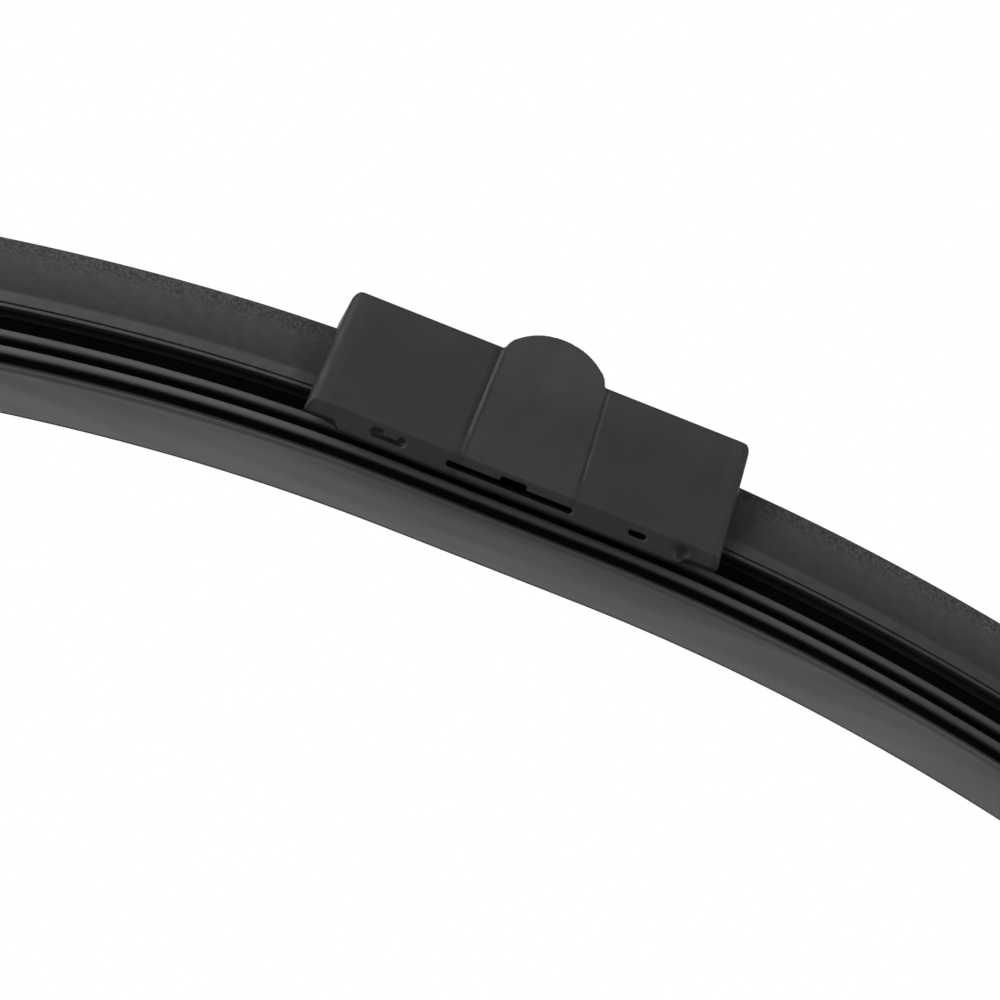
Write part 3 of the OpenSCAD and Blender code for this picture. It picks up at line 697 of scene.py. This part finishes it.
def tone_boss(f, x, z, outside, mottled):
    """Painted light on the boss, and painted shade in the groove on each side of it, dimming the left
    groove's lit flank.
    """
    wall = f.comes_in(z, WALL_FADE, FOOT_Z + WIPING_EDGE)
    # Distance from the middle of the boss, made level for its lean
    wide = f.maths("MULTIPLY_ADD", z, BOSS_LEAN, f.absolute(x))
    boss = f.goes_out(wide, BOSS_FADE, BOSS_EDGE)
    f.tone(f.times(f.times(boss, wall), mottled), BOSS_LIGHT)
    skewed = f.maths("MULTIPLY_ADD", x, GROOVE_SKEW, wide)
    bottom = f.near(skewed, GROOVE_AT, BOTTOM_FADE)
    shown = f.comes_in(z, GROOVE_FADE, WIPING_EDGE)
    f.tone(f.times(f.times(bottom, shown), outside), BOSS_GROOVE_SHADE)
    f.tone(f.times(f.near(skewed, GROOVE_AT, SIDES_FADE), outside), GROOVE_SIDE_SHADE)
    left = f.times(f.goes_out(x, LEFT_FADE), outside)
    f.tone(f.times(f.near(skewed, GROOVE_AT - FLANK_OFF, FLANK_FADE), left), FLANK_SHADE)


def tone_ends(f, x, z):
    """Painted shade on the rounded ends, with a painted highlight in a paler band beside them."""
    length = f.maths("MULTIPLY_ADD", z, END_LEAN, f.absolute(x))
    f.tone(f.comes_in(length, END_FADE, END_AT), END_SHADE)
    f.tone(f.comes_in(length, END_BAND_FADE, END_AT), END_BAND_LIGHT)


def tone_strip(f, z, outside):
    """Painted shade on the strip under the wall, a painted highlight on its upper edge, and painted shade
    that makes its hollows nearly black.
    """
    foot = FOOT_Z + WIPING_EDGE
    below = f.goes_out(z, STRIP_FADE, foot)
    f.tone(f.times(f.near(z, foot + EDGE_OFF, EDGE_FADE), outside), EDGE_HIGHLIGHT)
    f.tone(below, STRIP_SHADE)
    level = f.node("ShaderNodeVectorMath", operation="ABSOLUTE")
    f.link(f.place(), level.inputs[0])
    depth = f.node("ShaderNodeVectorMath", operation="DOT_PRODUCT")
    f.link(level.outputs["Vector"], depth.inputs[0])
    depth.inputs[1].default_value = STRIP_NORMAL
    sunk = f.comes_in(depth.outputs["Value"], HOLLOW_FADE, -STRIP_OFF)
    f.tone(f.times(sunk, below), HOLLOW_SHADE)


def housing_finish():
    """The moulded plastic with the tones of the connector's parts, most of them painted light and shade.
    """
    f = plastic_finish("housing_plastic")
    parts = f.node("ShaderNodeSeparateXYZ")
    f.link(f.place(), parts.inputs[0])
    x, y, z = parts.outputs
    outside = f.comes_in(f.absolute(y), OUTSIDE_FADE)
    front = f.goes_out(y, FRONT_FADE)
    mottled = f.spread(f.noise(scale=420, detail=3), *MOTTLE)
    # Painted light on the upper part of the connector
    f.tone(f.comes_in(z, TOP_LIGHT_FADE, WIPING_EDGE), TOP_LIGHT)
    tone_boss(f, x, z, outside, mottled)
    tone_ends(f, x, z)
    disc = f.times(f.blob(DISC_AT, DISC_R, DISC_SOFT), front)
    f.tone(f.times(disc, mottled), DISC_TONE)
    # Painted shade of the dimple in the strip
    dimple = f.times(f.blob(DIMPLE_AT, DIMPLE_R, DIMPLE_SOFT, DIMPLE_FLAT), front)
    f.tone(f.times(dimple, mottled), DIMPLE_SHADE)
    tone_strip(f, z, outside)
    return f.material


def rubber_finish():
    """Black rubber with a grey graphite coat on the lip and ridges, painted light and shade, and faint
    streaks along the blade.
    """
    f = Finish("wiper_rubber", colour=(0.1185, 0.1127, 0.114), roughness=0.55, specular=0.06)
    f.tint(f.noise(scale=700, detail=4, stretch=(0.06, 1, 1)), darkest=0.9, lightest=1.1)
    # Coat, and painted light and shade, stored on the points
    f.shade(f.mark("coat_and_painted_light"))
    f.rough(f.noise(scale=260, detail=3, stretch=(0.2, 1, 1)), low=0.5, high=0.62)
    f.bump(f.noise(scale=5200, detail=3, stretch=(0.25, 1, 1)), depth_mm=0.003)
    return f.material


def spoiler_finish():
    """Softer extruded rubber with painted light and shade, a painted shadow beside the connector, and
    mottling near the top edge.
    """
    f = Finish("spoiler_rubber", colour=(0.0538, 0.0513, 0.0523), roughness=0.55, specular=0.12)
    f.tint(f.noise(scale=600, detail=5), darkest=0.9, lightest=1.1)
    # Painted light and shade stored on the points
    f.shade(f.mark("coat_and_painted_light"))
    # Painted shadow of the connector on the spoiler
    f.shade(f.spread(f.absolute(f.mark("run")), SHADOW_BESIDE_TONE, 1.0, *SHADOW_BESIDE_SPAN))
    speckled = f.spread(f.noise(scale=2600, detail=2), -SPECKLE, SPECKLE, *SPECKLE_PATTERN)
    near_top = f.spread(f.mark("rise"), 0.0, 1.0, *SPECKLE_FADE)
    f.shade(f.maths("ADD", f.times(speckled, near_top), 1.0))
    f.rough(f.noise(scale=900, detail=3), low=0.5, high=0.62)
    f.bump(f.noise(scale=1500, detail=5), depth_mm=0.03)
    return f.material


def steel_finish():
    """Black-coated spring steel with fine lines along the strip."""
    f = Finish("coated_steel", colour=(0.006, 0.006, 0.0063), roughness=0.5, specular=0.08)
    f.tint(f.noise(scale=900, detail=3, stretch=(0.05, 1, 1)), darkest=0.85, lightest=1.1)
    f.rough(f.noise(scale=1500, detail=2, stretch=(0.03, 1, 1)), low=0.38, high=0.5)
    f.bump(f.noise(scale=6000, detail=2, stretch=(0.02, 1, 1)), depth_mm=0.002)
    return f.material


def pin_finish():
    """Bright ground steel with marks round the pin."""
    f = Finish("ground_steel", colour=(0.58, 0.58, 0.6), roughness=0.3, specular=0.5)
    f.shader.inputs["Metallic"].default_value = 1.0
    f.tint(f.noise(scale=1200, detail=3), darkest=0.9, lightest=1.05)
    f.rough(f.noise(scale=3000, detail=2, stretch=(1, 0.1, 1)), low=0.22, high=0.36)
    f.bump(f.noise(scale=8000, detail=2, stretch=(1, 8, 1)), depth_mm=0.001)
    return f.material


def dress(piece, material, body, node):
    """Gives a piece its finish and its place on a body, standing for a CAD node."""
    piece.data.materials.clear()
    piece.data.materials.append(material)
    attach(piece, body)
    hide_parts(node)


def build_object():
    rubber = rubber_finish()
    spoiler = spoiler_finish()
    steel = steel_finish()
    plastic = plastic_finish().material
    half = BLADE_LENGTH / 2
    element = swept("rubber_element", rubber_outline(), -half, half, rubber_coat_and_painted_light)
    dress(element, rubber, "blade", "wiping_rubber")
    rail_end = half - RAIL_SHORT
    for side, node in ((-1, "rail_front"), (1, "rail_rear")):
        strip = swept(node + "_strip", rail_outline(side), -rail_end, rail_end)
        dress(strip, steel, "blade", node)
    section = spoiler_outline()
    for end, first, last in (("left", -half, -SPOILER_START), ("right", SPOILER_START, half)):
        skin = swept("spoiler_" + end + "_skin", section, first, last, spoiler_painted_light)
        dress(skin, spoiler, "blade", "spoiler_" + end)
    for end in ("left", "right"):
        cap = softened("cap_" + end, "end_cap_" + end, CAP_MOULD_R)
        dress(cap, plastic, "blade", "end_cap_" + end)
    dress(moulded_housing(), housing_finish(), "blade", "connector_housing")
    adapter = softened("adapter", "arm_adapter", ADAPTER_MOULD_R)
    dress(adapter, plastic, "adapter", "arm_adapter")
    pin = softened("pin", "pivot_pin", PIN_MOULD_R)
    dress(pin, pin_finish(), "blade", "pivot_pin")


def direction(azimuth, elevation):
    """Unit vector from the object towards a place round it, angles in degrees."""
    a, e = math.radians(azimuth), math.radians(elevation)
    return Vector((math.sin(a) * math.cos(e), -math.cos(a) * math.cos(e), math.sin(e)))


def add_camera():
    """Camera that shows the reference point at its pixel, aimed at the picture's middle."""
    back = direction(CAMERA_AZIMUTH, CAMERA_ELEVATION)
    azimuth, roll = math.radians(CAMERA_AZIMUTH), math.radians(CAMERA_ROLL)
    level = Vector((math.cos(azimuth), math.sin(azimuth), 0))
    upright = back.cross(level)
    right = level * math.cos(roll) + upright * math.sin(roll)
    up = upright * math.cos(roll) - level * math.sin(roll)
    off_x = (REFERENCE_PIXEL[0] - IMAGE_SIDE / 2) / PIXELS_PER_MM * MM
    off_y = (IMAGE_SIDE / 2 - REFERENCE_PIXEL[1]) / PIXELS_PER_MM * MM
    place = REFERENCE + back * CAMERA_DISTANCE
    aim = REFERENCE - right * off_x - up * off_y
    back = (place - aim).normalized()
    right = up.cross(back).normalized()
    up = back.cross(right)
    data = bpy.data.cameras.new("camera")
    data.sensor_width = SENSOR
    data.lens = SENSOR * CAMERA_DISTANCE * PIXELS_PER_MM / (IMAGE_SIDE * MM)
    data.clip_start, data.clip_end = CLIP
    camera = bpy.data.objects.new("camera", data)
    camera.matrix_world = Matrix.Translation(place) @ Matrix((right, up, back)).transposed().to_4x4()
    bpy.context.scene.collection.objects.link(camera)
    bpy.context.scene.camera = camera


def add_lamp(name, azimuth, elevation, distance, size, power):
    """Rectangular soft lamp that faces the connector."""
    data = bpy.data.lights.new(name, "AREA")
    data.shape = "RECTANGLE"
    data.size, data.size_y = size
    data.energy = power
    lamp = bpy.data.objects.new(name, data)
    towards = direction(azimuth, elevation)
    lamp.location = towards * distance
    lamp.rotation_mode = "QUATERNION"
    lamp.rotation_quaternion = towards.to_track_quat("Z", "Y")
    bpy.context.scene.collection.objects.link(lamp)


def seen_directly(nodes, glossy):
    """1 for camera and transmission rays, a share for glossy ones, and 0 for light on the object."""
    path = nodes.node("ShaderNodeLightPath").outputs
    share = nodes.times(path["Is Glossy Ray"], glossy)
    first = nodes.maths("ADD", path["Is Camera Ray"], share)
    total = nodes.maths("ADD", first, path["Is Transmission Ray"])
    total.node.use_clamp = True
    return total


def add_floor():
    """Pale floor under the blade, clear from below, which turns into the white backdrop further out."""
    mesh = bmesh.new()
    bmesh.ops.create_grid(mesh, x_segments=2, y_segments=2, size=FLOOR_HALF)
    floor = placed("floor", mesh)
    floor.location = (0, 0, FLOOR_Z)
    f = Finish("pale_floor", FLOOR_COLOUR, roughness=0.9, specular=0.1)
    f.tint(f.noise(scale=3, detail=2), darkest=0.995, lightest=1.005)
    unseen = f.node("ShaderNodeBsdfDiffuse")
    unseen.inputs["Color"].default_value = FLOOR_BOUNCE
    seen = seen_directly(f, FLOOR_GLOSSY)
    close = f.mixed(unseen.outputs[0], f.shader.outputs[0], seen)
    length = f.node("ShaderNodeVectorMath", operation="LENGTH")
    f.link(f.place(), length.inputs[0])
    far = f.spread(length.outputs["Value"], 0.0, 1.0, *FLOOR_FADE)
    white = f.node("ShaderNodeEmission").outputs[0]
    faded = f.mixed(close, white, f.times(far, seen_directly(f, BACKDROP_GLOSSY)))
    clear = f.node("ShaderNodeBsdfTransparent").outputs[0]
    below = f.node("ShaderNodeNewGeometry").outputs["Backfacing"]
    f.link(f.mixed(faded, clear, below), f.tree.nodes["Material Output"].inputs["Surface"])
    floor.data.materials.append(f.material)


def add_world():
    """Even fill for the object, and white where the camera or a reflection looks past it."""
    world = bpy.data.worlds.new("studio")
    bpy.context.scene.world = world
    world.use_nodes = True
    w = Nodes(world.node_tree)
    parts = w.node("ShaderNodeSeparateXYZ")
    w.link(w.node("ShaderNodeTexCoord").outputs["Generated"], parts.inputs[0])
    behind = w.spread(parts.outputs["Y"], 0.0, 1.0, *BACKDROP)
    fill = w.tree.nodes["Background"]
    white = w.node("ShaderNodeBackground")
    for light, strength in ((fill, WORLD_FILL), (white, 1.0)):
        light.inputs["Color"].default_value = WHITE
        light.inputs["Strength"].default_value = strength
    looks = w.mixed(fill.outputs[0], white.outputs[0], seen_directly(w, behind))
    w.link(looks, w.tree.nodes["World Output"].inputs["Surface"])


build_object()
add_camera()
add_world()
add_floor()
for lamp_name, settings in LAMPS.items():
    add_lamp(lamp_name, *settings)
bpy.context.scene.view_settings.view_transform = "Standard"
